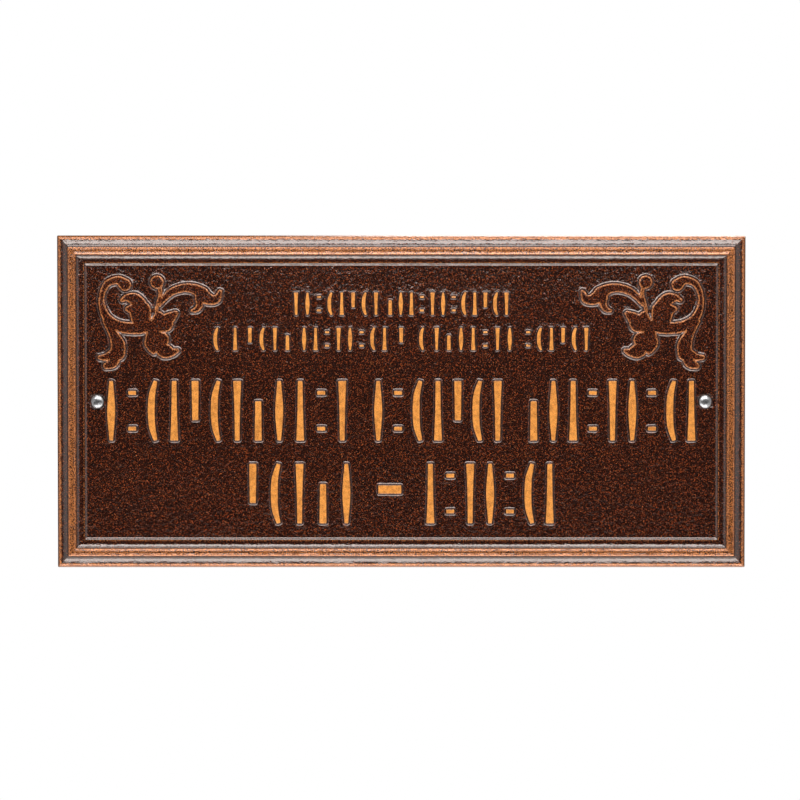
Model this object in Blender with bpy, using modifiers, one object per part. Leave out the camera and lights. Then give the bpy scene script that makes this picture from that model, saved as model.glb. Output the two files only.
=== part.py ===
"""Commemorative wall plaque: one aluminium casting and the two screws that hold it.

Metres, +Z up. The plaque's flat back lies in the XZ plane, which is the wall, and the origin is the
centre of that back. The front faces -Y. The casting has a moulded border, a sunk field, a leaf scroll
in each upper corner and four rows of raised strokes.
"""
import math

import bmesh
import bpy
from mathutils import Matrix, Vector
from mathutils.geometry import interpolate_bezier

MM = 0.001

# Casting
PLAQUE_LENGTH = 406.4 * MM
PLAQUE_HEIGHT = 196.1 * MM
FIELD_THICKNESS = 4.2 * MM

# Border moulding, from the outer edge inwards: widths, and heights above the back
EDGE_FOOT = 1.0 * MM
EDGE_DRAFT = 1.3 * MM
RIM_WIDTH = 1.2 * MM
RIM_THICKNESS = 4.5 * MM
COVE_WIDTH = 4.5 * MM
COVE_STEPS = 5
BAND_WIDTH = 4.4 * MM
BAND_THICKNESS = 8.3 * MM
BAND_DISH = 0.7 * MM
SLOPE_WIDTH = 2.9 * MM
SLOPE_STEPS = 4
CHANNEL_WIDTH = 1.6 * MM
CHANNEL_THICKNESS = 5.2 * MM
STEP_WIDTH = 2.0 * MM

# Raised strokes
STROKE_RELIEF = 1.8 * MM
SMALL_STROKE_WIDTH = 2.1 * MM
SMALL_STROKE_DRAFT = 0.9 * MM
SMALL_STROKE_GAP = 0.2 * MM
LARGE_STROKE_WIDTH = 3.9 * MM
LARGE_STROKE_DRAFT = 1.5 * MM
LARGE_STROKE_GAP = 0.8 * MM
SMALL_ROW_HEIGHT = 13.2 * MM
LARGE_ROW_HEIGHT = 35.2 * MM
DASH_LENGTH = 13.6 * MM
DASH_WIDTH = 4.9 * MM
DASH_RISE = 2.4 * MM

# Bare field above each row, as shares of the height that the rows leave free, from the top down
ROW_GAPS = (0.249, 0.119, 0.285, 0.215)

# Bare field at each end of a row
FIRST_ROW_MARGIN = 122.3 * MM
SECOND_ROW_MARGIN = 75.3 * MM
LAST_ROW_MARGIN = 95.8 * MM

# Leaf scrolls
SCROLL_RELIEF = 1.6 * MM
SCROLL_DRAFT = 1.7 * MM
SCROLL_SIDE_MARGIN = 4.2 * MM
SCROLL_TOP_MARGIN = 4.1 * MM
SCROLL_ROW_GAP = 6.2 * MM

# Screws
SCREW_INSET = 24.0 * MM
HEAD_DIAMETER = 7.8 * MM
HEAD_THICKNESS = 2.6 * MM
HEAD_EDGE = 0.9 * MM
HEAD_CLEARANCE = 0.9 * MM
PROFILE_MERGE = 0.01 * MM
SHANK_DIAMETER = 4.2 * MM
SHANK_LENGTH = 32.0 * MM
POINT_LENGTH = 6.0 * MM
HOLE_CLEARANCE = 0.4 * MM
SEAT_GAP = 0.3 * MM
RECESS_LENGTH = 4.6 * MM
RECESS_WIDTH = 1.1 * MM
RECESS_DEPTH = 1.5 * MM
RECESS_FLOOR_SHARE = 0.45
CROWN_STEPS = 5
ROUND_SEGMENTS = 28

# How far a raised form reaches down into the field, and a cutter past a face
EMBED = 0.4 * MM
FORM_DEPTH = max(STROKE_RELIEF, SCROLL_RELIEF) + EMBED
OVERSHOOT = 1.0 * MM

BORDER_WIDTH = (EDGE_DRAFT + RIM_WIDTH + COVE_WIDTH + BAND_WIDTH + SLOPE_WIDTH + CHANNEL_WIDTH + STEP_WIDTH)
FIELD_HALF_LENGTH = PLAQUE_LENGTH / 2 - BORDER_WIDTH
FIELD_HALF_HEIGHT = PLAQUE_HEIGHT / 2 - BORDER_WIDTH
SCREW_X = PLAQUE_LENGTH / 2 - SCREW_INSET

# The third row runs from one screw head to the other
THIRD_ROW_MARGIN = FIELD_HALF_LENGTH - SCREW_X + HEAD_DIAMETER / 2 + HEAD_CLEARANCE + LARGE_STROKE_DRAFT

# Words of each row, as shares of its length
FIRST_ROW_WORDS = ((0.0, 0.39), (0.44, 1.0))
SECOND_ROW_WORDS = ((0.0, 0.06), (0.09, 0.20), (0.235, 0.46), (0.495, 0.56), (0.59, 0.795), (0.835, 1.0))
THIRD_ROW_WORDS = ((0.0, 0.405), (0.455, 0.67), (0.72, 1.0))
LAST_ROW_WORDS = ((0.0, 0.33), (0.585, 1.0))
LAST_ROW_DASH = 0.462

# A leaf scroll as tapered lobes in its own box, 128 wide and 97 high, from the box's top left corner.
# Each point is (across, down, half width), each lobe (share of the relief, points).
SCROLL_BOX_HEIGHT = 97.0
SCROLL_LOBES = (
    ("curl", 0.90, ((31.2, 12.2, 5.7), (24.0, 7.6, 3.8), (12.7, 11.8, 3.0), (7.6, 27.0, 2.6),
                    (12.2, 43.5, 4.0), (24.0, 52.8, 5.2), (40.0, 55.2, 5.6), (54.5, 52.8, 6.4))),
    ("foot", 1.0, ((12.2, 48.0, 3.4), (18.8, 60.0, 4.3), (23.8, 71.5, 6.8), (23.6, 80.0, 7.1))),
    ("heel", 0.95, ((19.0, 80.8, 4.6), (12.6, 83.8, 3.4), (6.2, 84.2, 2.2))),
    ("toe", 0.97, ((21.5, 83.5, 5.0), (18.5, 89.5, 4.9), (12.2, 92.6, 2.8))),
    ("upper_petal", 1.04, ((46.0, 38.3, 10.6), (47.0, 45.5, 9.6))),
    ("petal_hook", 0.94, ((45.0, 31.5, 7.0), (40.2, 26.3, 5.8), (33.0, 25.0, 3.2), (28.2, 27.4, 1.8))),
    ("petal_spur", 0.92, ((40.0, 36.5, 5.0), (34.0, 36.2, 2.6))),
    ("ball", 0.99, ((62.6, 9.4, 6.2), (63.0, 9.6, 6.2))),
    ("stalk", 0.86, ((65.0, 13.0, 1.8), (66.3, 21.0, 1.8), (64.8, 29.0, 2.2), (62.4, 36.0, 1.6),
                     (63.0, 40.0, 2.0))),
    ("arm", 0.91, ((65.5, 32.0, 1.5), (71.4, 24.0, 3.0), (79.0, 18.3, 3.6), (90.0, 15.2, 4.0),
                   (100.0, 16.4, 4.8), (107.5, 20.8, 6.4))),
    ("leaf", 1.02, ((108.5, 23.4, 6.8), (116.0, 26.9, 4.9), (122.2, 26.0, 3.8), (125.2, 19.2, 2.0))),
    ("drop", 0.96, ((104.8, 25.0, 4.4), (105.0, 31.5, 3.2), (102.2, 36.3, 2.6), (97.8, 37.8, 1.5))),
    ("petal_crown", 0.87, ((64.4, 43.0, 4.4), (65.0, 49.0, 7.6))),
    ("side_petal", 0.93, ((64.5, 51.0, 8.0), (70.0, 50.2, 8.6))),
    ("side_petal_tip", 1.03, ((69.4, 49.6, 7.6), (75.4, 45.0, 5.3), (80.9, 40.7, 2.5))),
    ("lower_petal", 0.98, ((58.5, 57.5, 5.5), (60.3, 69.2, 9.8))),
    ("petal_lobe", 0.88, ((58.0, 74.0, 5.0), (59.6, 78.2, 2.6))),
    ("petal_tongue", 1.01, ((66.0, 74.5, 5.5), (70.4, 77.6, 7.0), (77.2, 79.2, 3.8), (82.8, 77.4, 1.8))),
    ("petal_shoulder", 0.89, ((60.0, 64.5, 6.5), (66.8, 66.8, 7.6))),
)
LOBE_STEPS = 3
LOBE_CAP_STEPS = 4


def clear_scene():
    """Remove whatever the file holds."""
    for scene_object in list(bpy.data.objects):
        bpy.data.objects.remove(scene_object, do_unlink=True)


def new_collection(name):
    """Return a new collection in the scene."""
    collection = bpy.data.collections.new(name)
    bpy.context.scene.collection.children.link(collection)
    return collection


def make_material(name, colour, roughness, metallic):
    """Return a Principled BSDF material."""
    material = bpy.data.materials.new(name)
    material.use_nodes = True
    shader = material.node_tree.nodes["Principled BSDF"]
    shader.inputs["Base Color"].default_value = (*colour, 1.0)
    shader.inputs["Roughness"].default_value = roughness
    shader.inputs["Metallic"].default_value = metallic
    return material


def object_from_bmesh(name, bm, collection):
    """Turn a bmesh into a linked object with outward normals, and free the bmesh."""
    bmesh.ops.recalc_face_normals(bm, faces=bm.faces)
    mesh = bpy.data.meshes.new(name)
    bm.to_mesh(mesh)
    bm.free()
    made = bpy.data.objects.new(name, mesh)
    collection.objects.link(made)
    return made


def add_boolean(target, tool, operation, solver="EXACT"):
    """Add a Boolean modifier that reads the tool, and hide the tool."""
    modifier = target.modifiers.new(f"{operation.title()} {tool.name}", "BOOLEAN")
    modifier.operation = operation
    modifier.solver = solver
    modifier.object = tool
    tool.hide_render = True
    tool.display_type = "WIRE"


def smooth_path(points, steps):
    """Return the points (x, z, half width) with a smooth curve of `steps` spans between each two."""
    knots = [Vector(point) for point in points]
    ends = [knots[0] * 2 - knots[1], *knots, knots[-1] * 2 - knots[-2]]
    path = [knots[0]]
    for before, start, stop, after in zip(ends, ends[1:], ends[2:], ends[3:]):
        handle_start = start + (stop - before) / 6
        handle_stop = stop - (after - start) / 6
        path += interpolate_bezier(start, handle_start, handle_stop, stop, steps + 1)[1:]
    return path


def path_outline(path, grow, cap_steps):
    """Return the closed outline (x, z) round a path of (x, z, half width), grown outwards by `grow`.

    With cap_steps of 0 the ends are square; otherwise each is a half circle of that many steps.
    """
    stations = []
    for index, knot in enumerate(path):
        ahead = path[min(index + 1, len(path) - 1)] - path[max(index - 1, 0)]
        along = Vector((ahead.x, ahead.y)).normalized()
        stations.append([Vector((knot.x, knot.y)), along, knot.z + grow])
    if cap_steps == 0:
        stations[0][0] -= stations[0][1] * grow
        stations[-1][0] += stations[-1][1] * grow
    outline = []
    for side, run in ((1, stations), (-1, stations[::-1])):
        for centre, along, reach in run:
            across = Vector((-along.y, along.x))
            outline.append(centre + across * reach * side)
        for step in range(1, cap_steps):
            turn = math.pi * step / cap_steps
            outline.append(centre + (across * math.cos(turn) + along * math.sin(turn)) * reach * side)
    return outline


def add_raised_form(bm, path, relief, draft, cap_steps):
    """Add a closed solid with a flat top along the path and sloping sides that reach into the field."""
    top_level = -FIELD_THICKNESS - relief
    foot_level = top_level + FORM_DEPTH
    rings = []
    for level, grow in ((foot_level, draft * FORM_DEPTH / relief), (top_level, 0.0)):
        outline = path_outline(path, grow, cap_steps)
        rings.append([bm.verts.new((point.x, level, point.y)) for point in outline])
    foot, top = rings
    bm.faces.new(foot)
    bm.faces.new(top[::-1])
    for index in range(len(foot)):
        following = (index + 1) % len(foot)
        bm.faces.new((foot[index], top[index], top[following], foot[following]))


def hollow_steps(width, rise, count):
    """Return a hollow quarter round as that many (width, rise) steps, from its flat end to its steep one."""
    steps = []
    for index in range(count):
        start = math.pi / 2 * index / count
        stop = math.pi / 2 * (index + 1) / count
        steps.append((width * (math.sin(stop) - math.sin(start)), rise * (math.cos(start) - math.cos(stop))))
    return steps


def border_steps():
    """Return the border as (width, rise) steps from the edge foot inwards."""
    steps = [(EDGE_DRAFT, RIM_THICKNESS - EDGE_FOOT), (RIM_WIDTH, 0.0)]
    steps += hollow_steps(COVE_WIDTH, BAND_THICKNESS - RIM_THICKNESS, COVE_STEPS)
    steps += [(BAND_WIDTH / 2, -BAND_DISH), (BAND_WIDTH / 2, BAND_DISH)]
    steps += hollow_steps(SLOPE_WIDTH, CHANNEL_THICKNESS - BAND_THICKNESS, SLOPE_STEPS)[::-1]
    steps.append((CHANNEL_WIDTH, 0.0))
    steps.append((STEP_WIDTH, FIELD_THICKNESS - CHANNEL_THICKNESS))
    return steps


def make_slab(collection):
    """Make the bare casting: a flat back, the moulded border and the sunk field."""
    bm = bmesh.new()
    size = Matrix.Diagonal((PLAQUE_LENGTH, EDGE_FOOT, PLAQUE_HEIGHT, 1.0))
    bmesh.ops.create_cube(bm, size=1.0, matrix=Matrix.Translation((0, -EDGE_FOOT / 2, 0)) @ size)
    bm.normal_update()
    front = min(bm.faces, key=lambda face: face.calc_center_median().y)
    for width, rise in border_steps():
        bmesh.ops.inset_region(bm, faces=[front], thickness=width, depth=rise, use_even_offset=True)
    return object_from_bmesh("plaque", bm, collection)


def stroke_shapes():
    """Return the stroke shapes that the rows repeat, each as a list of paths.

    A path's points are (across, up, half width): the first and the last in stroke widths, the
    second in row heights.
    """
    standing = [((0.0, 0.0, 0.60), (0.0, 0.45, 0.44), (0.0, 1.0, 0.36))]
    hanging = [((0.0, 0.0, 0.36), (0.0, 0.55, 0.44), (0.0, 1.0, 0.60))]
    spindle = [((0.0, 0.0, 0.28), (0.0, 0.5, 0.60), (0.0, 1.0, 0.28))]
    bowed = [((0.36, 0.0, 0.30), (-0.22, 0.28, 0.50), (-0.22, 0.72, 0.50), (0.36, 1.0, 0.30))]
    raised_short = [((0.0, 0.34, 0.46), (0.0, 1.0, 0.54))]
    low_short = [((0.0, 0.0, 0.54), (0.0, 0.66, 0.46))]
    paired_bars = [((-0.6, level, 0.3), (0.6, level, 0.3)) for level in (0.2, 0.8)]
    return (hanging, spindle, paired_bars, bowed, standing, raised_short, bowed, hanging, low_short, spindle,
            standing, paired_bars)


def add_row(bm, margin, bottom, height, width, gap, draft, words, first_shape):
    """Add one row of strokes; each word is filled with as many as keep the gap between their feet."""
    shapes = stroke_shapes()
    reach = width * max(abs(x) + half for shape in shapes for path in shape for x, up, half in path)
    pitch = 2 * (reach + draft * FORM_DEPTH / STROKE_RELIEF) + gap
    row_start = -FIELD_HALF_LENGTH + margin
    row_length = 2 * (FIELD_HALF_LENGTH - margin)
    count = first_shape
    for word_start, word_stop in words:
        start = row_start + row_length * word_start + width / 2
        length = row_length * (word_stop - word_start) - width
        spans = max(1, math.floor(length / pitch))
        for index in range(spans + 1):
            centre = start + length * index / spans
            for path in shapes[count % len(shapes)]:
                placed = [
                    Vector((centre + x * width, bottom + up * height, half * width))
                    for x, up, half in path
                ]
                add_raised_form(bm, placed, STROKE_RELIEF, draft, cap_steps=0)
            count += 1


def row_bottoms():
    """Return the height of each row's bottom edge above the plaque's centre, from the top row down."""
    heights = (SMALL_ROW_HEIGHT, SMALL_ROW_HEIGHT, LARGE_ROW_HEIGHT, LARGE_ROW_HEIGHT)
    free = 2 * FIELD_HALF_HEIGHT - sum(heights)
    level = FIELD_HALF_HEIGHT
    bottoms = []
    for gap, height in zip(ROW_GAPS, heights):
        level -= gap * free + height
        bottoms.append(level)
    return bottoms


def make_strokes(collection):
    """Make the four rows of strokes as one tool."""
    first, second, third, last = row_bottoms()
    small = (SMALL_ROW_HEIGHT, SMALL_STROKE_WIDTH, SMALL_STROKE_GAP, SMALL_STROKE_DRAFT)
    large = (LARGE_ROW_HEIGHT, LARGE_STROKE_WIDTH, LARGE_STROKE_GAP, LARGE_STROKE_DRAFT)
    bm = bmesh.new()
    add_row(bm, FIRST_ROW_MARGIN, first, *small, FIRST_ROW_WORDS, first_shape=0)
    add_row(bm, SECOND_ROW_MARGIN, second, *small, SECOND_ROW_WORDS, first_shape=3)
    add_row(bm, THIRD_ROW_MARGIN, third, *large, THIRD_ROW_WORDS, first_shape=1)
    add_row(bm, LAST_ROW_MARGIN, last, *large, LAST_ROW_WORDS, first_shape=5)
    dash_centre = (2 * LAST_ROW_DASH - 1) * (FIELD_HALF_LENGTH - LAST_ROW_MARGIN)
    dash_level = last + LARGE_ROW_HEIGHT / 2 + DASH_RISE
    dash = [Vector((dash_centre + side * DASH_LENGTH / 2, dash_level, DASH_WIDTH / 2)) for side in (-1, 1)]
    add_raised_form(bm, dash, STROKE_RELIEF, LARGE_STROKE_DRAFT, cap_steps=0)
    return object_from_bmesh("strokes", bm, collection)


def make_scroll_lobes(side, collection):
    """Make the lobes of the leaf scroll in one upper corner, each a tool; side is -1 or 1."""
    third_row_top = row_bottoms()[2] + LARGE_ROW_HEIGHT
    top = FIELD_HALF_HEIGHT - SCROLL_TOP_MARGIN
    scale = (top - third_row_top - SCROLL_ROW_GAP) / SCROLL_BOX_HEIGHT
    outer = FIELD_HALF_LENGTH - SCROLL_SIDE_MARGIN
    lobes = []
    for name, height_share, points in SCROLL_LOBES:
        placed = [(side * (outer - x * scale), top - down * scale, half * scale) for x, down, half in points]
        bm = bmesh.new()
        add_raised_form(bm, smooth_path(placed, LOBE_STEPS), SCROLL_RELIEF * height_share, SCROLL_DRAFT,
                        LOBE_CAP_STEPS)
        corner = "left" if side < 0 else "right"
        lobes.append(object_from_bmesh(f"{name}_{corner}", bm, collection))
    return lobes


def make_hole_tool(name, x, collection):
    """Make the round cutter of one screw hole, right through the field at the plaque's mid-height."""
    radius = SHANK_DIAMETER / 2 + HOLE_CLEARANCE
    length = FIELD_THICKNESS + 2 * OVERSHOOT
    bm = bmesh.new()
    bmesh.ops.create_cone(bm, cap_ends=True, segments=ROUND_SEGMENTS, radius1=radius, radius2=radius,
                          depth=length)
    turn = Matrix.Rotation(math.radians(90), 4, "X")
    bmesh.ops.transform(bm, matrix=Matrix.Translation((x, -FIELD_THICKNESS / 2, 0)) @ turn, verts=bm.verts)
    return object_from_bmesh(name, bm, collection)


def make_plaque(parts, tools):
    """Make the casting: slab, strokes and leaf scrolls in one, with a hole for each screw.

    Every solid here is closed. At some sizes the exact solver loses the slab where lobes overlap, so this
    one uses the manifold solver.
    """
    solver = "MANIFOLD"
    plaque = make_slab(parts)
    for side in (-1, 1):
        for lobe in make_scroll_lobes(side, tools):
            add_boolean(plaque, lobe, "UNION", solver)
    add_boolean(plaque, make_strokes(tools), "UNION", solver)
    for name, x in (("hole_left", -SCREW_X), ("hole_right", SCREW_X)):
        add_boolean(plaque, make_hole_tool(name, x, tools), "DIFFERENCE", solver)
    plaque.data.materials.append(make_material("antique_copper", (0.075, 0.022, 0.010), 0.45, 0.6))
    return plaque


def make_screw_profile():
    """Make the half profile of a pan-head screw along Z, head up, its seat at zero."""
    head = HEAD_DIAMETER / 2
    shank = SHANK_DIAMETER / 2
    crown = HEAD_THICKNESS - HEAD_EDGE
    profile = [(0.0, HEAD_THICKNESS)]
    for step in range(1, CROWN_STEPS + 1):
        turn = math.pi / 2 * step / CROWN_STEPS
        profile.append((head * math.sin(turn), HEAD_EDGE + crown * math.cos(turn)))
    profile += [(head, 0.0), (shank, 0.0), (shank, POINT_LENGTH - SHANK_LENGTH), (0.0, -SHANK_LENGTH)]
    bm = bmesh.new()
    verts = [bm.verts.new((radius, 0.0, height)) for radius, height in profile]
    for start, stop in zip(verts, verts[1:]):
        bm.edges.new((start, stop))
    mesh = bpy.data.meshes.new("screw_profile")
    bm.to_mesh(mesh)
    bm.free()
    return mesh


def make_recess_blades(screw, collection):
    """Make the two tapered blades that cut the cross recess into a screw's head."""
    depth = RECESS_DEPTH + OVERSHOOT
    middle = HEAD_THICKNESS - RECESS_DEPTH + depth / 2
    blades = []
    for index in range(2):
        bm = bmesh.new()
        bmesh.ops.create_cube(bm, size=1.0, matrix=Matrix.Diagonal((RECESS_LENGTH, RECESS_WIDTH, depth, 1.0)))
        for vert in bm.verts:
            if vert.co.z < 0:
                vert.co.x *= RECESS_FLOOR_SHARE
        turn = Matrix.Rotation(math.radians(90 * index), 4, "Z")
        bmesh.ops.transform(bm, matrix=turn @ Matrix.Translation((0, 0, middle)), verts=bm.verts)
        blade = object_from_bmesh(f"{screw.name}_recess_{index + 1}", bm, collection)
        blade.location = screw.location
        blade.rotation_euler = screw.rotation_euler
        blades.append(blade)
    return blades


def make_screw(name, x, profile, parts, tools):
    """Make one pan-head screw, its head in front of the field and its shank into the wall."""
    screw = bpy.data.objects.new(name, profile)
    parts.objects.link(screw)
    screw.location = (x, -FIELD_THICKNESS - SEAT_GAP, 0)
    screw.rotation_euler.x = math.radians(90)
    turned = screw.modifiers.new("Turn", "SCREW")
    turned.axis = "Z"
    turned.steps = ROUND_SEGMENTS
    turned.render_steps = ROUND_SEGMENTS
    turned.use_merge_vertices = True
    turned.merge_threshold = PROFILE_MERGE
    turned.use_normal_calculate = True
    for blade in make_recess_blades(screw, tools):
        add_boolean(screw, blade, "DIFFERENCE")
    return screw


def main():
    """Build the plaque and its screws."""
    clear_scene()
    parts = new_collection("commemorative_plaque")
    tools = new_collection("cutters")
    make_plaque(parts, tools)
    profile = make_screw_profile()
    profile.materials.append(make_material("screw_steel", (0.45, 0.45, 0.46), 0.3, 1.0))
    make_screw("screw_left", -SCREW_X, profile, parts, tools)
    make_screw("screw_right", SCREW_X, profile, parts, tools)


main()
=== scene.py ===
"""Looks of a cast commemorative wall plaque and its two screws, built around their solids.

The plaque's flat back lies in the plane y = 0, which is the wall, and its front faces -Y. Shapes are worked
out in millimetres, as places (across, up) on the front and heights above the back, and become metres when a
mesh is made. The border, the rows of strokes and the leaf scrolls are one skin, as the casting is one piece.
"""
import logging
import math
from collections.abc import Iterable, Mapping, Sequence
from dataclasses import dataclass, field
from enum import Enum

import bmesh
import bpy
import numpy as np
from mathutils import Matrix, Vector
from mathutils.geometry import delaunay_2d_cdt, interpolate_bezier


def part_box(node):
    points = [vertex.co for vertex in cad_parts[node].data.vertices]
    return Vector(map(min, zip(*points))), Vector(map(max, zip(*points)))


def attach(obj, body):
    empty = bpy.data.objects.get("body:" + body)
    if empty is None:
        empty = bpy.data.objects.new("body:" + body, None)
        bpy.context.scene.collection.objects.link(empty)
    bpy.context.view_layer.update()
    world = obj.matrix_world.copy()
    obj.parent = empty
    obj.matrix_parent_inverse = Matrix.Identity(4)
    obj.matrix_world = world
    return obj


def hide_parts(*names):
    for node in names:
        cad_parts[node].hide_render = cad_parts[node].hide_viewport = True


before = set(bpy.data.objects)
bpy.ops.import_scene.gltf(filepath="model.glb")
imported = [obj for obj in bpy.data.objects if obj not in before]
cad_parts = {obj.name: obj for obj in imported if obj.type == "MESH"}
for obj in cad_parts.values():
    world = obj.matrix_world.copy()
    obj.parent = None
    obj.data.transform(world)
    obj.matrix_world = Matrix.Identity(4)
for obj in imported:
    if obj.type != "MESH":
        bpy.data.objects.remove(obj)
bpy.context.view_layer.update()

MM = 0.001
ROOT_BODY = "root"

Point = tuple[float, float]
Knot = tuple[float, float, float]
Colour = tuple[float, float, float]

log = logging.getLogger("plaque")


class Measure(Enum):
    """What the casting's skin knows at each vertex, in millimetres, under the name its finish reads."""

    INSET = "inset_from_edge"
    STROKE = "inside_stroke"
    SCROLL = "inside_scroll"


class Side(Enum):
    """The plaque's left or right half, as the sign of its places across."""

    LEFT = -1
    RIGHT = 1


class StrokeShape(Enum):
    """A mark of the rows, as paths of (across in stroke widths, up in row heights, half width in stroke widths)."""

    STANDING = (((0.0, 0.0, 0.60), (0.0, 0.45, 0.44), (0.0, 1.0, 0.36)),)
    HANGING = (((0.0, 0.0, 0.36), (0.0, 0.55, 0.44), (0.0, 1.0, 0.60)),)
    SPINDLE = (((0.0, 0.0, 0.28), (0.0, 0.5, 0.60), (0.0, 1.0, 0.28)),)
    BOWED = (((0.36, 0.0, 0.30), (-0.22, 0.28, 0.50), (-0.22, 0.72, 0.50), (0.36, 1.0, 0.30)),)
    RAISED_SHORT = (((0.0, 0.34, 0.46), (0.0, 1.0, 0.54)),)
    LOW_SHORT = (((0.0, 0.0, 0.54), (0.0, 0.66, 0.46)),)
    PAIRED_BARS = (((-0.6, 0.2, 0.3), (0.6, 0.2, 0.3)), ((-0.6, 0.8, 0.3), (0.6, 0.8, 0.3)))


ROW_SEQUENCE = (
    StrokeShape.HANGING, StrokeShape.SPINDLE, StrokeShape.PAIRED_BARS, StrokeShape.BOWED, StrokeShape.STANDING,
    StrokeShape.RAISED_SHORT, StrokeShape.BOWED, StrokeShape.HANGING, StrokeShape.LOW_SHORT, StrokeShape.SPINDLE,
    StrokeShape.STANDING, StrokeShape.PAIRED_BARS,
)

# The leaf scroll's lobes, (across, down, half width) in its own box from the box's top left corner
SCROLL_LOBES: dict[str, tuple[Knot, ...]] = {
    "curl": ((31.2, 12.2, 5.7), (24.0, 7.6, 3.8), (12.7, 11.8, 3.0), (7.6, 27.0, 2.6), (12.2, 43.5, 4.0),
             (24.0, 52.8, 5.2), (40.0, 55.2, 5.6), (54.5, 52.8, 6.4)),
    "foot": ((12.2, 48.0, 3.4), (18.8, 60.0, 4.3), (23.8, 71.5, 6.8), (23.6, 80.0, 7.1)),
    "heel": ((19.0, 80.8, 4.6), (12.6, 83.8, 3.4), (6.2, 84.2, 2.2)),
    "toe": ((21.5, 83.5, 5.0), (18.5, 89.5, 4.9), (12.2, 92.6, 2.8)),
    "upper_petal": ((46.0, 38.3, 10.6), (47.0, 45.5, 9.6)),
    "petal_hook": ((45.0, 31.5, 7.0), (40.2, 26.3, 5.8), (33.0, 25.0, 3.2), (28.2, 27.4, 1.8)),
    "petal_spur": ((40.0, 36.5, 5.0), (34.0, 36.2, 2.6)),
    "ball": ((62.6, 9.4, 6.2), (63.0, 9.6, 6.2)),
    "stalk": ((65.0, 13.0, 1.8), (66.3, 21.0, 1.8), (64.8, 29.0, 2.2), (62.4, 36.0, 1.6), (63.0, 40.0, 2.0)),
    "arm": ((65.5, 32.0, 1.5), (71.4, 24.0, 3.0), (79.0, 18.3, 3.6), (90.0, 15.2, 4.0), (100.0, 16.4, 4.8),
            (107.5, 20.8, 6.4)),
    "leaf": ((108.5, 23.4, 6.8), (116.0, 26.9, 4.9), (122.2, 26.0, 3.8), (125.2, 19.2, 2.0)),
    "drop": ((104.8, 25.0, 4.4), (105.0, 31.5, 3.2), (102.2, 36.3, 2.6), (97.8, 37.8, 1.5)),
    "petal_crown": ((64.4, 43.0, 4.4), (65.0, 49.0, 7.6)),
    "side_petal": ((64.5, 51.0, 8.0), (70.0, 50.2, 8.6)),
    "side_petal_tip": ((69.4, 49.6, 7.6), (75.4, 45.0, 5.3), (80.9, 40.7, 2.5)),
    "lower_petal": ((58.5, 57.5, 5.5), (60.3, 69.2, 9.8)),
    "petal_lobe": ((58.0, 74.0, 5.0), (59.6, 78.2, 2.6)),
    "petal_tongue": ((66.0, 74.5, 5.5), (70.4, 77.6, 7.0), (77.2, 79.2, 3.8), (82.8, 77.4, 1.8)),
    "petal_shoulder": ((60.0, 64.5, 6.5), (66.8, 66.8, 7.6)),
}


def round_corners(corners: Sequence[Point], radii: Sequence[float], spans: int) -> list[Point]:
    """Round the corners of an open line.

    Args:
        corners: the line's points, both ends included.
        radii: the radius at each point between the ends; 0 leaves a corner sharp.
        spans: the number of spans in each rounded corner.

    Returns:
        The line's points with a smooth arc in place of each rounded corner.
    """
    handle_share = 0.6
    reach_limit = 0.48
    line = [corners[0]]
    for before, corner, after, radius in zip(corners, corners[1:], corners[2:], radii):
        if radius == 0:
            line.append(corner)
            continue
        middle = Vector(corner)
        back = Vector(before) - middle
        ahead = Vector(after) - middle
        reach = radius / math.tan(back.angle(ahead) / 2)
        reach = min(reach, reach_limit * back.length, reach_limit * ahead.length)
        start = middle + back.normalized() * reach
        stop = middle + ahead.normalized() * reach
        arc = interpolate_bezier(
            start, start.lerp(middle, handle_share), stop.lerp(middle, handle_share), stop, spans + 1
        )
        line += [(point.x, point.y) for point in arc]
    line.append(corners[-1])
    return line


def hollow(flat: Point, steep: Point, spans: int) -> list[Point]:
    """Return the inner points of a hollow quarter round.

    Args:
        flat: the end where it runs level.
        steep: the end where it stands upright.
        spans: its number of spans.

    Returns:
        The points between the two ends, from the level one.
    """
    turns = [math.pi / 2 * step / spans for step in range(1, spans)]
    return [(flat[0] + (steep[0] - flat[0]) * math.sin(turn), flat[1] + (steep[1] - flat[1]) * (1 - math.cos(turn)))
            for turn in turns]


def smooth_path(knots: Sequence[Knot], spacing: float) -> list[Vector]:
    """Run a smooth curve through a path's knots.

    Args:
        knots: the path's (across, up, half width) points in millimetres.
        spacing: about how far apart the curve's points are.

    Returns:
        Points (across, up, half width) along the curve, each knot among them.
    """
    points = [Vector(knot) for knot in knots]
    ends = [points[0] * 2 - points[1], *points, points[-1] * 2 - points[-2]]
    path = [points[0]]
    for before, start, stop, after in zip(ends, ends[1:], ends[2:], ends[3:]):
        spans = max(1, math.ceil((stop - start).length / spacing))
        path += interpolate_bezier(
            start, start + (stop - before) / 6, stop - (after - start) / 6, stop, spans + 1
        )[1:]
    return path


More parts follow.
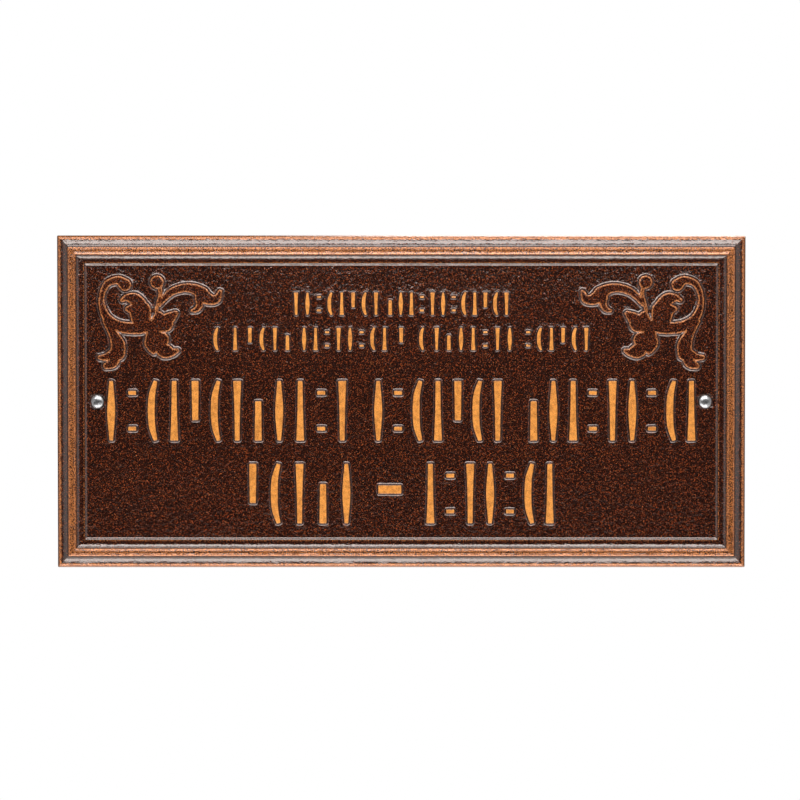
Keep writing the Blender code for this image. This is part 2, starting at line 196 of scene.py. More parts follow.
def path_rays(path: Sequence[Vector], core: float, corner_spans: int) -> tuple[np.ndarray, np.ndarray]:
    """Find an outline round a square-ended path that can grow evenly.

    Args:
        path: points (across, up, half width).
        core: how far inside the outline its rays start, which is also its corners' radius.
        corner_spans: spans of each corner.

    Returns:
        The rays' starts and their unit directions, in order round the path.
    """
    starts: list[Vector] = []
    directions: list[Vector] = []
    last = len(path) - 1
    for side in (1, -1):
        for step in range(len(path)):
            index = step if side == 1 else last - step
            ahead = path[min(index + 1, last)] - path[max(index - 1, 0)]
            travel = Vector((ahead.x, ahead.y)).normalized() * side
            normal = Vector((-travel.y, travel.x))
            start = path[index].xy + normal * (path[index].z - core)
            turns = [math.pi / 2]
            if step == 0:
                start = start + travel * core
                turns = [math.pi - math.pi / 2 * turn / corner_spans for turn in range(corner_spans + 1)]
            elif step == last:
                start = start - travel * core
                turns = [math.pi / 2 - math.pi / 2 * turn / corner_spans for turn in range(corner_spans + 1)]
            for turn in turns:
                starts.append(start)
                directions.append(travel * math.cos(turn) + normal * math.sin(turn))
    return np.array(starts), np.array(directions)


def rounded_loop(half_length: float, half_height: float, radius: float, long_spans: int, short_spans: int,
                 corner_spans: int) -> np.ndarray:
    """Return the places round a rectangle with round corners, as many whatever its size.

    Args:
        half_length: half the rectangle's size across.
        half_height: half its size up.
        radius: the corners' radius.
        long_spans: spans along the top and the bottom.
        short_spans: spans along each end.
        corner_spans: spans of each corner.

    Returns:
        An array of (across, up).
    """
    places: list[Point] = []
    for quarter, (sign_x, sign_z) in enumerate(((1, 1), (-1, 1), (-1, -1), (1, -1))):
        centre_x = sign_x * (half_length - radius)
        centre_z = sign_z * (half_height - radius)
        for step in range(corner_spans + 1):
            turn = math.pi / 2 * (quarter + step / corner_spans)
            places.append((centre_x + radius * math.cos(turn), centre_z + radius * math.sin(turn)))
        following = math.pi / 2 * (quarter + 1)
        start = np.array(places[-1])
        run = 2 * (half_length - radius) if quarter % 2 == 0 else 2 * (half_height - radius)
        along = np.array((-math.sin(following), math.cos(following)))
        spans = long_spans if quarter % 2 == 0 else short_spans
        for step in range(1, spans):
            places.append(tuple(start + along * run * step / spans))
    return np.array(places)


def circle(centre: Point, radius: float, segments: int) -> np.ndarray:
    """Return the places round a circle."""
    turns = np.arange(segments) * 2 * math.pi / segments
    return np.stack((centre[0] + radius * np.cos(turns), centre[1] + radius * np.sin(turns)), axis=1)


def grid_places(half_length: float, half_height: float, spacing: float) -> np.ndarray:
    """Return a staggered grid of places inside a rectangle round the middle."""
    rows = np.arange(-half_height + spacing / 2, half_height, spacing)
    places = []
    for index, up in enumerate(rows):
        shift = spacing / 2 * (index % 2)
        across = np.arange(-half_length + spacing / 2 + shift, half_length - spacing / 4, spacing)
        places.append(np.stack((across, np.full_like(across, up)), axis=1))
    return np.concatenate(places)


def link_object(name: str, data: bpy.types.ID) -> bpy.types.Object:
    """Make an object of that mesh, camera or light and link it to the scene."""
    made = bpy.data.objects.new(name, data)
    bpy.context.scene.collection.objects.link(made)
    return made


def take_mesh(name: str, bm: bmesh.types.BMesh) -> bpy.types.Mesh:
    """Make a mesh of what was modelled, and free that."""
    mesh = bpy.data.meshes.new(name)
    bm.to_mesh(mesh)
    bm.free()
    return mesh


def is_anticlockwise(loop: np.ndarray) -> bool:
    """Tell whether places run anticlockwise round their loop."""
    following = np.roll(loop, -1, axis=0)
    return float(np.sum(loop[:, 0] * following[:, 1] - following[:, 0] * loop[:, 1])) > 0


class Skin:
    """Vertices with what is measured at them, and faces, gathered for one mesh."""

    defaults = {Measure.INSET: 30.0, Measure.STROKE: -9.0, Measure.SCROLL: -9.0}

    def __init__(self) -> None:
        """Start with no vertices."""
        self.places: list[np.ndarray] = []
        self.heights: list[np.ndarray] = []
        self.measures: dict[Measure, list[np.ndarray]] = {measure: [] for measure in Measure}
        self.faces: list[tuple[int, ...]] = []
        self.finish_of_face: list[int] = []
        self.count = 0

    def add(self, places: np.ndarray, heights: np.ndarray | float,
            measures: Mapping[Measure, np.ndarray | float] | None = None) -> np.ndarray:
        """Add vertices.

        Args:
            places: an array of (across, up).
            heights: their heights above the back, or one for all.
            measures: values for them, where they aren't the usual ones.

        Returns:
            The new vertices' numbers.
        """
        size = len(places)
        self.places.append(places)
        self.heights.append(np.broadcast_to(np.asarray(heights, float), size))
        for measure in Measure:
            value = (measures or {}).get(measure, self.defaults[measure])
            self.measures[measure].append(np.broadcast_to(np.asarray(value, float), size))
        numbers = np.arange(self.count, self.count + size)
        self.count += size
        return numbers

    def add_face(self, corners: Iterable[int], finish: int = 0) -> None:
        """Add one face with the finish of that number."""
        self.faces.append(tuple(int(corner) for corner in corners))
        self.finish_of_face.append(finish)

    def bridge(self, first: np.ndarray, second: np.ndarray) -> None:
        """Join two closed rings of as many vertices with quads."""
        for index in range(len(first)):
            following = (index + 1) % len(first)
            self.add_face((first[index], second[index], second[following], first[following]))

    def fill(self, loops: Sequence[np.ndarray], loose: np.ndarray, finish: int = 0) -> None:
        """Fill the first loop with triangles, leaving the other loops open.

        Args:
            loops: rings of vertex numbers: the outer edge, then each opening's.
            loose: vertex numbers of further places between them.
            finish: the number of the faces' finish.
        """
        numbers = np.concatenate((*loops, loose))
        places = np.concatenate(self.places)[numbers]
        edges = []
        openings = []
        start = 0
        for index, loop in enumerate(loops):
            ring = list(range(start, start + len(loop)))
            if index == 0:
                edges += list(zip(ring, ring[1:] + ring[:1]))
            else:
                openings.append(ring if is_anticlockwise(places[ring]) else ring[::-1])
            start += len(loop)
        made = delaunay_2d_cdt([Vector(place) for place in places], edges, openings, 0, 1e-6, True)
        triangles, sources, inside = made[2], made[3], made[5]
        for triangle, opening in zip(triangles, inside):
            if not opening:
                self.add_face([numbers[sources[corner][0]] for corner in triangle], finish)

    def to_object(self, name: str, waver: "Waver", finishes: Sequence[bpy.types.Material]) -> bpy.types.Object:
        """Make the object.

        Args:
            name: the object's name.
            waver: the unevenness of the front.
            finishes: the materials, in the order that faces name them.

        Returns:
            The object, in metres and linked to the scene.
        """
        places = np.concatenate(self.places)
        heights = np.concatenate(self.heights)
        heights = heights + waver.at(places) * np.clip(heights, 0.0, 1.0)
        vertices = np.stack((places[:, 0], -heights, places[:, 1]), axis=1) * MM
        mesh = bpy.data.meshes.new(name)
        mesh.from_pydata(vertices.tolist(), [], self.faces)
        for finish in finishes:
            mesh.materials.append(finish)
        mesh.polygons.foreach_set("material_index", self.finish_of_face)
        bm = bmesh.new()
        bm.from_mesh(mesh)
        bmesh.ops.recalc_face_normals(bm, faces=bm.faces)
        bm.to_mesh(mesh)
        bm.free()
        for measure, parts in self.measures.items():
            attribute = mesh.attributes.new(measure.value, "FLOAT", "POINT")
            attribute.data.foreach_set("value", np.concatenate(parts).astype(np.float32))
        mesh.shade_smooth()
        return link_object(name, mesh)


@dataclass(frozen=True)
class Waver:
    """The slight unevenness of a sand-cast face."""

    height: float = 0.05
    shortest: float = 14.0
    longest: float = 60.0
    waves: int = 14
    seed: int = 11

    def at(self, places: np.ndarray) -> np.ndarray:
        """Return how far the face stands above or below its true height at each place."""
        chance = np.random.default_rng(self.seed)
        lengths = chance.uniform(self.shortest, self.longest, self.waves)
        headings = chance.uniform(0, 2 * math.pi, self.waves)
        phases = chance.uniform(0, 2 * math.pi, self.waves)
        total = np.zeros(len(places))
        for length, heading, phase in zip(lengths, headings, phases):
            along = places[:, 0] * math.cos(heading) + places[:, 1] * math.sin(heading)
            total += np.sin(2 * math.pi * along / length + phase)
        return total * self.height / math.sqrt(self.waves)


@dataclass(frozen=True)
class RaisedEdge:
    """The side of a raised form: a steep draft with a rounded top edge and a hollow foot."""

    relief: float
    draft: float
    steepness: float
    top_radius: float
    foot_radius: float
    spans: int = 4

    def line(self) -> list[Point]:
        """Return the side as (distance outside the top's outline, height above the field), top first."""
        run = self.relief / math.tan(math.radians(self.steepness))
        corners = [(-self.draft, self.relief), (0.0, self.relief), (run, 0.0), (2 * self.draft, 0.0)]
        return round_corners(corners, (self.top_radius, self.foot_radius), self.spans)[1:-1]

    def height_at(self, distance: np.ndarray) -> np.ndarray:
        """Return the height above the field at each distance outside the top's outline."""
        line = np.array(self.line())
        return np.interp(distance, line[:, 0], line[:, 1])


@dataclass
class Border:
    """The moulding round the field: a rim, a cove, a dished band, a slope, a channel and a step."""

    foot: float = 1.0
    edge_draft: float = 1.3
    rim_width: float = 1.2
    rim_height: float = 4.5
    cove_width: float = 4.5
    band_width: float = 4.4
    band_height: float = 8.3
    band_dish: float = 0.38
    band_lip: float = 0.45
    slope_width: float = 2.9
    channel_width: float = 1.6
    channel_height: float = 5.2
    step_width: float = 2.0
    step_lip: float = 0.75
    field_height: float = 4.2
    margin: float = 0.7
    corner_radius: float = 0.6
    spacing: float = 3.0
    hollow_spans: int = 7
    corner_spans: int = 3
    section_spans: int = 4

    # The rounded corners of the rim, as (how far out, how far down, radius) from the cove's or the rim's start
    rim_shoulder: Knot = (0.3, 0.8, 0.6)
    rim_crown: Knot = (0.5, 0.15, 0.4)
    cove_lead: Point = (0.2, 0.12)
    band_lead: float = 0.1
    lip_width: float = 0.85
    slope_lead: float = 0.5
    step_lead: float = 0.1
    band_radii: Knot = (0.3, 0.4, 0.6)
    step_radii: Point = (0.5, 0.7)

    # The band's dish, as (share of its width, share of its depth)
    dish: tuple[Point, ...] = ((0.25, 0.75), (0.5, 1.0), (0.75, 0.75))
    dish_radius: float = 1.5

    @property
    def rim_start(self) -> float:
        """Where the outer edge's draft ends and the rim starts, from the outer edge."""
        return self.edge_draft

    @property
    def cove_start(self) -> float:
        """Where the cove starts."""
        return self.rim_start + self.rim_width

    @property
    def band_start(self) -> float:
        """Where the band's outer edge is."""
        return self.cove_start + self.cove_width

    @property
    def band_stop(self) -> float:
        """Where the band's inner edge is."""
        return self.band_start + self.band_width

    @property
    def channel_start(self) -> float:
        """Where the slope meets the channel."""
        return self.band_stop + self.slope_width

    @property
    def step_start(self) -> float:
        """Where the channel ends and the step starts."""
        return self.channel_start + self.channel_width

    @property
    def width(self) -> float:
        """The whole moulding's width."""
        return self.step_start + self.step_width

    def line(self) -> list[Point]:
        """Return the section as (inset from the outer edge, height above the back), from the wall inwards."""
        rim_out, rim_down, rim_radius = self.rim_shoulder
        crown_out, crown_down, crown_radius = self.rim_crown
        foot_radius, lip_radius, stop_radius = self.band_radii
        step_radius, field_radius = self.step_radii
        band_stop = (self.band_stop, self.band_height)
        band_foot = (self.band_start + self.band_lead, self.band_height - self.band_lip)
        lip = self.band_start + self.lip_width
        cove_foot = (self.cove_start - self.cove_lead[0], self.rim_height - self.cove_lead[1])
        slope_foot = (self.channel_start + self.slope_lead, self.channel_height)
        cove = hollow(cove_foot, band_foot, self.hollow_spans)
        slope = hollow(slope_foot, band_stop, self.hollow_spans)[::-1]
        shape: list[tuple[Point, float]] = [
            ((0.0, self.foot), 0.0),
            ((self.rim_start - rim_out, self.rim_height - rim_down), rim_radius),
            ((self.cove_start - crown_out, self.rim_height - crown_down), crown_radius),
            (cove_foot, 0.0),
            *((place, 0.0) for place in cove),
            (band_foot, foot_radius),
            ((lip, self.band_height), lip_radius),
            *(((lip + (self.band_stop - lip) * share, self.band_height - self.band_dish * sunk), self.dish_radius)
              for share, sunk in self.dish),
            (band_stop, stop_radius),
            *((place, 0.0) for place in slope),
            (slope_foot, 0.0),
            ((self.step_start + self.step_lip, self.channel_height), step_radius),
            ((self.width - self.step_lead, self.field_height), field_radius),
        ]
        corners = [(0.0, 0.0), *(corner for corner, radius in shape), (self.width + self.margin, self.field_height)]
        return round_corners(corners, [radius for corner, radius in shape], self.section_spans)

    def build(self, skin: Skin, length: float, height: float) -> tuple[np.ndarray, np.ndarray]:
        """Add the moulding to the skin.

        Args:
            skin: the casting's skin.
            length: the plaque's length.
            height: the plaque's height.

        Returns:
            The vertices round the back's edge, and those round the field's.
        """
        long_spans = round(length / self.spacing)
        short_spans = round(height / self.spacing)
        rings = []
        for inset, level in self.line():
            places = rounded_loop(length / 2 - inset, height / 2 - inset, self.corner_radius, long_spans,
                                  short_spans, self.corner_spans)
            rings.append(skin.add(places, level, {Measure.INSET: inset}))
        for outer, inner in zip(rings, rings[1:]):
            skin.bridge(outer, inner)
        return rings[0], rings[-1]


@dataclass
class Row:
    """One row of raised strokes, in words."""

    margin: float
    bottom: float
    height: float
    stroke_width: float
    gap: float
    edge: RaisedEdge
    words: tuple[Point, ...]
    first_shape: int
    depth_share: float

    def paths(self, field_half_length: float) -> list[list[Knot]]:
        """Return each stroke's path, the words filled with as many as the gap allows."""
        reach = self.stroke_width * max(
            abs(x) + half for shape in ROW_SEQUENCE for path in shape.value for x, up, half in path
        )
        pitch = 2 * (reach + self.edge.draft * self.depth_share) + self.gap
        row_start = -field_half_length + self.margin
        row_length = 2 * (field_half_length - self.margin)
        placed = []
        count = self.first_shape
        for word_start, word_stop in self.words:
            start = row_start + row_length * word_start + self.stroke_width / 2
            length = row_length * (word_stop - word_start) - self.stroke_width
            spans = max(1, math.floor(length / pitch))
            for index in range(spans + 1):
                centre = start + length * index / spans
                for path in ROW_SEQUENCE[count % len(ROW_SEQUENCE)].value:
                    placed.append([
                        (centre + x * self.stroke_width, self.bottom + up * self.height, half * self.stroke_width)
                        for x, up, half in path
                    ])
                count += 1
        return placed


@dataclass
class Inscription:
    """The four rows of strokes and the dash that stand where the wording goes."""

    field_half_length: float
    field_half_height: float
    field_height: float
    relief: float = 1.8
    depth: float = 2.2
    small_height: float = 13.2
    large_height: float = 35.2
    small_stroke: float = 2.1
    large_stroke: float = 3.9
    small_gap: float = 0.2
    large_gap: float = 0.8
    row_gaps: tuple[float, ...] = (0.249, 0.119, 0.285, 0.215)
    first_margin: float = 122.3
    second_margin: float = 75.3
    third_margin: float = 12.4
    last_margin: float = 95.8

    # Where each row's words start and stop, as shares of its length
    first_words: tuple[Point, ...] = ((0.0, 0.39), (0.44, 1.0))
    second_words: tuple[Point, ...] = (
        (0.0, 0.06), (0.09, 0.20), (0.235, 0.46), (0.495, 0.56), (0.59, 0.795), (0.835, 1.0),
    )
    third_words: tuple[Point, ...] = ((0.0, 0.405), (0.455, 0.67), (0.72, 1.0))
    last_words: tuple[Point, ...] = ((0.0, 0.33), (0.585, 1.0))

    dash_length: float = 13.6
    dash_width: float = 4.9
    dash_rise: float = 2.4
    dash_place: float = 0.462
    core: float = 0.42
    corner_spans: int = 3

    def row_bottoms(self) -> list[float]:
        """Return the rows' bottom edges above the plaque's middle, from the top row down."""
        heights = (self.small_height, self.small_height, self.large_height, self.large_height)
        free = 2 * self.field_half_height - sum(heights)
        level = self.field_half_height
        bottoms = []
        for gap, height in zip(self.row_gaps, heights):
            level -= gap * free + height
            bottoms.append(level)
        return bottoms

    def small_edge(self) -> RaisedEdge:
        """Return the side of the small strokes."""
        return RaisedEdge(self.relief, draft=0.9, steepness=70.0, top_radius=0.3, foot_radius=0.6, spans=4)

    def large_edge(self) -> RaisedEdge:
        """Return the side of the large strokes."""
        return RaisedEdge(self.relief, draft=1.5, steepness=62.0, top_radius=0.35, foot_radius=0.9, spans=5)

    def rows(self) -> list[Row]:
        """Return the four rows, from the top down."""
        first, second, third, last = self.row_bottoms()
        small = (self.small_height, self.small_stroke, self.small_gap, self.small_edge())
        large = (self.large_height, self.large_stroke, self.large_gap, self.large_edge())
        share = self.depth / self.relief
        return [
            Row(self.first_margin, first, *small, self.first_words, 0, share),
            Row(self.second_margin, second, *small, self.second_words, 3, share),
            Row(self.third_margin, third, *large, self.third_words, 1, share),
            Row(self.last_margin, last, *large, self.last_words, 5, share),
        ]

    def dash(self) -> list[Knot]:
        """Return the path of the short bar in the middle of the last row."""
        centre = (2 * self.dash_place - 1) * (self.field_half_length - self.last_margin)
        level = self.row_bottoms()[-1] + self.large_height / 2 + self.dash_rise
        return [(centre + side.value * self.dash_length / 2, level, self.dash_width / 2) for side in Side]

    def add_stroke(self, skin: Skin, knots: Sequence[Knot], edge: RaisedEdge, spacing: float) -> np.ndarray:
        """Add one stroke to the skin.

        Args:
            skin: the casting's skin.
            knots: the stroke's path.
            edge: its side.
            spacing: about how far apart the points along it are.

        Returns:
            The vertices round the stroke's foot.
        """
        starts, directions = path_rays(smooth_path(knots, spacing), self.core, self.corner_spans)
        rings = []
        for distance, rise in edge.line():
            places = starts + directions * (distance + self.core)
            rings.append(skin.add(places, self.field_height + rise, {Measure.STROKE: -distance}))
        for inner, outer in zip(rings, rings[1:]):
            skin.bridge(inner, outer)
        skin.add_face(rings[0])
        return rings[-1]

    def build(self, skin: Skin) -> list[np.ndarray]:
        """Add every stroke to the skin and return the rings of vertices round their feet."""
        small_spacing = 1.7
        large_spacing = 2.4
        feet = []
        for row in self.rows():
            spacing = small_spacing if row.height == self.small_height else large_spacing
            for knots in row.paths(self.field_half_length):
                feet.append(self.add_stroke(skin, knots, row.edge, spacing))
        feet.append(self.add_stroke(skin, self.dash(), self.large_edge(), large_spacing))
        return feet


@dataclass
class LeafScroll:
    """The leaf scroll of the two upper corners, from tapered lobes that run into each other."""

    outer: float
    top: float
    scale: float
    field_height: float
    edge: RaisedEdge = RaisedEdge(1.6, draft=1.7, steepness=55.0, top_radius=0.35, foot_radius=1.2, spans=5)
    step: float = 0.4
    cell: float = 0.36
    fill_spacing: float = 1.2
    box_middle: Point = (64.0, -48.5)
    fill_reach: Point = (70.0, 55.0)
    lobes: dict[str, list[Vector]] = field(init=False)

    def __post_init__(self) -> None:
        """Place the lobes in the upper left corner."""
        self.lobes = {}
        for name, knots in SCROLL_LOBES.items():
            placed = [(-self.outer + across * self.scale, self.top - down * self.scale, half * self.scale)
                      for across, down, half in knots]
            self.lobes[name] = smooth_path(placed, self.step)

    def discs(self) -> np.ndarray:
        """Return the discs that the lobes sweep, as (across, up, radius)."""
        finer = 2
        swept = []
        for path in self.lobes.values():
            line = np.array(path)
            marks = np.linspace(0, len(line) - 1, (len(line) - 1) * finer + 1)
            swept.append(np.stack([np.interp(marks, np.arange(len(line)), line[:, axis]) for axis in range(3)], 1))
        return np.concatenate(swept)

    def distance(self, places: np.ndarray) -> np.ndarray:
        """Return how far each place lies outside the scroll's top outline; it is negative inside."""
        batch = 1500
        discs = self.discs()
        found = []
        for start in range(0, len(places), batch):
            part = places[start:start + batch]
            gaps = np.hypot(part[:, None, 0] - discs[:, 0], part[:, None, 1] - discs[:, 1]) - discs[:, 2]
            found.append(gaps.min(axis=1))
        return np.concatenate(found)

    def survey(self) -> tuple[np.ndarray, np.ndarray]:
        """Measure the scroll on a fine grid.

        Returns:
            The grid's places, and each one's distance outside the top outline.
        """
        reach = self.edge.line()[-1][0] + self.cell
        discs = self.discs()
        low = (discs[:, :2] - discs[:, 2:]).min(axis=0) - reach
        high = (discs[:, :2] + discs[:, 2:]).max(axis=0) + reach
        across, up = (np.arange(low[axis], high[axis], self.cell) for axis in range(2))
        grid = np.stack(np.meshgrid(across, up), axis=-1)
        return grid, self.distance(grid.reshape(-1, 2)).reshape(grid.shape[:2])

    def contour(self, grid: np.ndarray, gaps: np.ndarray, grow: float) -> np.ndarray:
        """Find places along the scroll's outline, where the survey's grid lines cross it.

        Args:
            grid: the survey's places.
            gaps: their distances.
            grow: how far outside the top outline the places lie.

        Returns:
            The places, at most one to a cell.
        """
        found = []
        for first, second in ((np.s_[:-1, :], np.s_[1:, :]), (np.s_[:, :-1], np.s_[:, 1:])):
            start, stop = gaps[first] - grow, gaps[second] - grow
            crossed = start * stop < 0
            share = (start[crossed] / (start[crossed] - stop[crossed]))[:, None]
            found.append(grid[first][crossed] * (1 - share) + grid[second][crossed] * share)
        places = np.concatenate(found)
        return places[np.unique(np.round(places / self.cell), axis=0, return_index=True)[1]]

    def places(self) -> np.ndarray:
        """Return the places of the left scroll's vertices: contours down its side, and a grid inside."""
        line = self.edge.line()
        grid, gaps = self.survey()
        contours = [self.contour(grid, gaps, distance) for distance, rise in line]
        corner = np.array([[-self.outer, self.top]])
        middle = corner + np.array([self.box_middle]) * self.scale
        half_length, half_height = self.fill_reach
        loose = grid_places(half_length * self.scale, half_height * self.scale, self.fill_spacing) + middle
        inside = loose[self.distance(loose) < line[0][0] - self.fill_spacing / 3]
        return np.concatenate((*contours, inside))

    def build(self, skin: Skin) -> np.ndarray:
        """Add both scrolls to the skin as loose vertices and return their numbers."""
        places = self.places()
        distance = self.distance(places)
        heights = self.field_height + self.edge.height_at(distance)
        numbers = []
        for side in Side:
            mirrored = places * np.array([[-side.value, 1]])
            numbers.append(skin.add(mirrored, heights, {Measure.SCROLL: -distance}))
        return np.concatenate(numbers)


class Wire:
    """A number that varies over a surface; arithmetic on it adds Math nodes."""

    def __init__(self, graph: "Graph", socket: bpy.types.NodeSocket) -> None:
        """Wrap an output socket of a node in the graph."""
        self.graph = graph
        self.socket = socket

    def apply(self, operation: str, *values: "Wire | float") -> "Wire":
        """Return the result of a Math node on those values."""
        sockets = dict(zip(("Value", "Value_001", "Value_002"), values))
        return self.graph.value("ShaderNodeMath", {"operation": operation}, sockets)

    def __add__(self, other: "Wire | float") -> "Wire":
        """Add."""
        return self.apply("ADD", self, other)

    __radd__ = __add__

    def __mul__(self, other: "Wire | float") -> "Wire":
        """Multiply."""
        return self.apply("MULTIPLY", self, other)

    __rmul__ = __mul__

    def __sub__(self, other: "Wire | float") -> "Wire":
        """Subtract."""
        return self.apply("SUBTRACT", self, other)

    def __rsub__(self, other: "Wire | float") -> "Wire":
        """Subtract this from a number."""
        return self.apply("SUBTRACT", other, self)

    def __abs__(self) -> "Wire":
        """Return the size without its sign."""
        return self.apply("ABSOLUTE", self)

    def above(self, start: float, stop: float) -> "Wire":
        """Rise smoothly from 0 at start to 1 at stop; stop may be the lower of the two."""
        settings = {"interpolation_type": "SMOOTHSTEP"}
        if start < stop:
            return self.graph.value("ShaderNodeMapRange", settings,
                                    {"Value": self, "From Min": start, "From Max": stop})
        return 1 - self.above(stop, start)

    def highest(self, other: "Wire | float") -> "Wire":
        """Return the larger of two values."""
        return self.apply("MAXIMUM", self, other)


class Graph:
    """A material's nodes, added one by one and linked as they are added."""

    def __init__(self, name: str) -> None:
        """Start a material with nothing but its output."""
        self.material = bpy.data.materials.new(name)
        self.material.use_nodes = True
        self.tree = self.material.node_tree
        self.tree.nodes.clear()

    def add(self, kind: str, settings: Mapping[str, object] | None = None,
            sockets: Mapping[str, object] | None = None) -> bpy.types.Node:
        """Add a node.

        Args:
            kind: the node's type.
            settings: its properties.
            sockets: for each input's identifier, a value, a Wire or an output socket.

        Returns:
            The node.
        """
        node = self.tree.nodes.new(kind)
        for name, value in (settings or {}).items():
            setattr(node, name, value)
        inputs = {socket.identifier: socket for socket in node.inputs}
        for name, value in (sockets or {}).items():
            if isinstance(value, Wire):
                value = value.socket
            if isinstance(value, bpy.types.NodeSocket):
                self.tree.links.new(value, inputs[name])
            else:
                inputs[name].default_value = value
        return node

    def value(self, kind: str, settings: Mapping[str, object] | None = None,
              sockets: Mapping[str, object] | None = None, output: int = 0) -> Wire:
        """Add a node and return one of its outputs as a number."""
        return Wire(self, self.add(kind, settings, sockets).outputs[output])

    def measured(self, measure: Measure) -> Wire:
        """Return what the skin measured under that name."""
        return self.value("ShaderNodeAttribute", {"attribute_name": measure.value}, output=2)

    def noise(self, grain: float, detail: float = 2.0, stretch: Colour = (1.0, 1.0, 1.0),
              shift: float = 0.0) -> Wire:
        """Return a noise from 0 to 1.

        Args:
            grain: the size of its grains in millimetres.
            detail: how many finer layers it has.
            stretch: how much finer it is along each axis.
            shift: moves the pattern, so that two noises differ.

        Returns:
            The noise.
        """
        place = self.add("ShaderNodeTexCoord").outputs["Object"]
        moved = self.add("ShaderNodeMapping", None,
                         {"Vector": place, "Location": (shift, shift, shift), "Scale": stretch})
        return self.value("ShaderNodeTexNoise", None,
                          {"Vector": moved.outputs[0], "Scale": 1 / (grain * MM), "Detail": detail})

    def blend(self, mask: Wire | float, low: object, high: object) -> bpy.types.NodeSocket:
        """Return a colour that goes from low to high as the mask goes from 0 to 1."""
        colours = {"Factor_Float": mask}
        for name, colour in (("A_Color", low), ("B_Color", high)):
            colours[name] = (*colour, 1.0) if isinstance(colour, tuple) else colour
        node = self.add("ShaderNodeMix", {"data_type": "RGBA"}, colours)
        return next(socket for socket in node.outputs if socket.identifier == "Result_Color")

    def bump(self, height: Wire, depth: float) -> bpy.types.NodeSocket:
        """Return the normal of a surface roughened by that many millimetres."""
        return self.add("ShaderNodeBump", None, {"Height": height, "Distance": depth * MM}).outputs[0]

    def finish(self, sockets: Mapping[str, object]) -> bpy.types.Material:
        """Add the surface shader with those sockets and the output, and return the material."""
        shader = self.add("ShaderNodeBsdfPrincipled", None, sockets)
        self.add("ShaderNodeOutputMaterial", None, {"Surface": shader.outputs[0]})
        return self.material


@dataclass(frozen=True)
class RubLine:
    """A rubbed line along the border: how far inwards of an edge it lies, its half widths and its strength."""

    offset: float
    full: float
    none: float
    share: float


